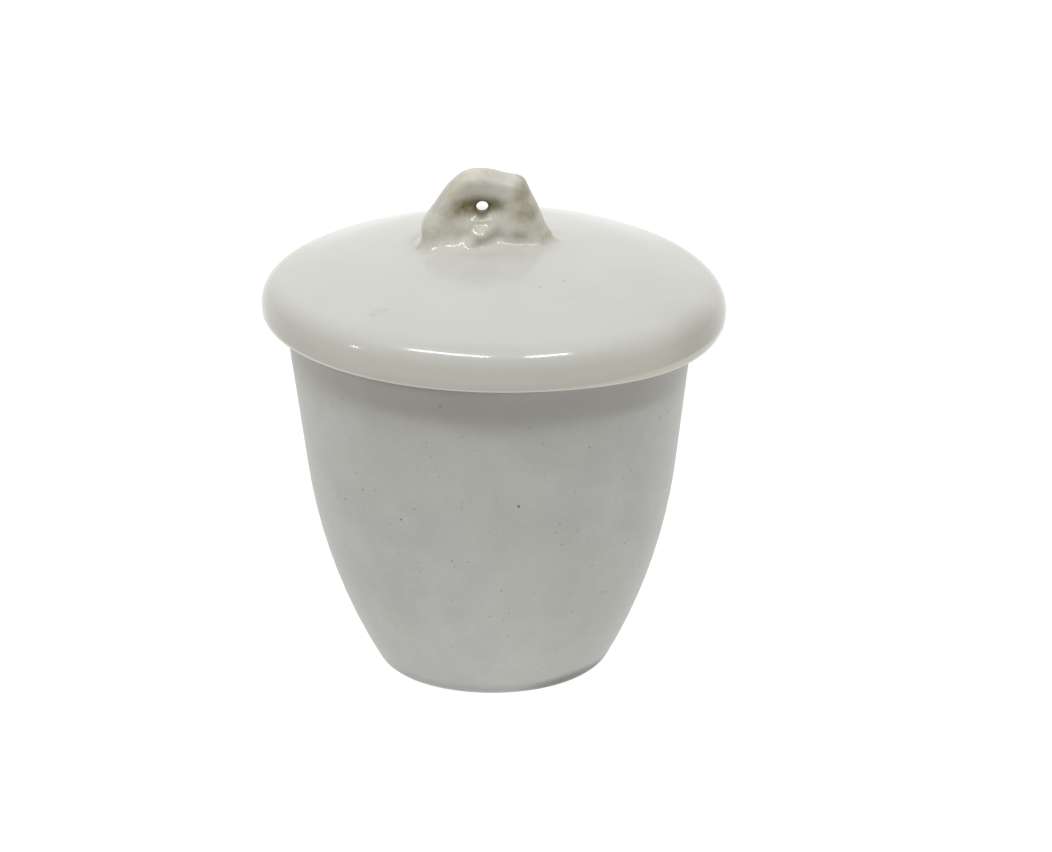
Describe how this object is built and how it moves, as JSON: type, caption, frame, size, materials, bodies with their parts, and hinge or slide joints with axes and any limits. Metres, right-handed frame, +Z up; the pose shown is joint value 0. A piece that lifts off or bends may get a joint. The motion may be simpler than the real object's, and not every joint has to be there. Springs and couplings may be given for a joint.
{
  "type": "porcelain crucible",
  "caption": "Tapered porcelain crucible with a loose domed lid and a pierced pinch handle, for heating small samples strongly.",
  "frame": {"origin": "centre of the bowl's flat base, on the surface that the crucible stands on", "axes": "+Z up the crucible's axis, the handle's hole along Y, the handle's width along X, front towards -Y"},
  "size_m": [0.045, 0.045, 0.0505],
  "materials": {
    "bowl_porcelain": "satin, thinly glazed, with fine iron specks",
    "lid_glaze": "gloss, warmer where the glaze pools at the rim",
    "handle_glaze": "gloss, stained olive brown round the hole"
  },
  "bodies": {
    "crucible": {"crucible_bowl": "bowl_porcelain"},
    "lid": {"lid_disc": "lid_glaze", "lid_handle": "handle_glaze"}
  },
  "joints": [
    {"name": "lid_lift", "type": "slide", "parent": "crucible", "child": "lid", "axis": [0, 0, 1], "range_m": [0, 0.06]}
  ]
}
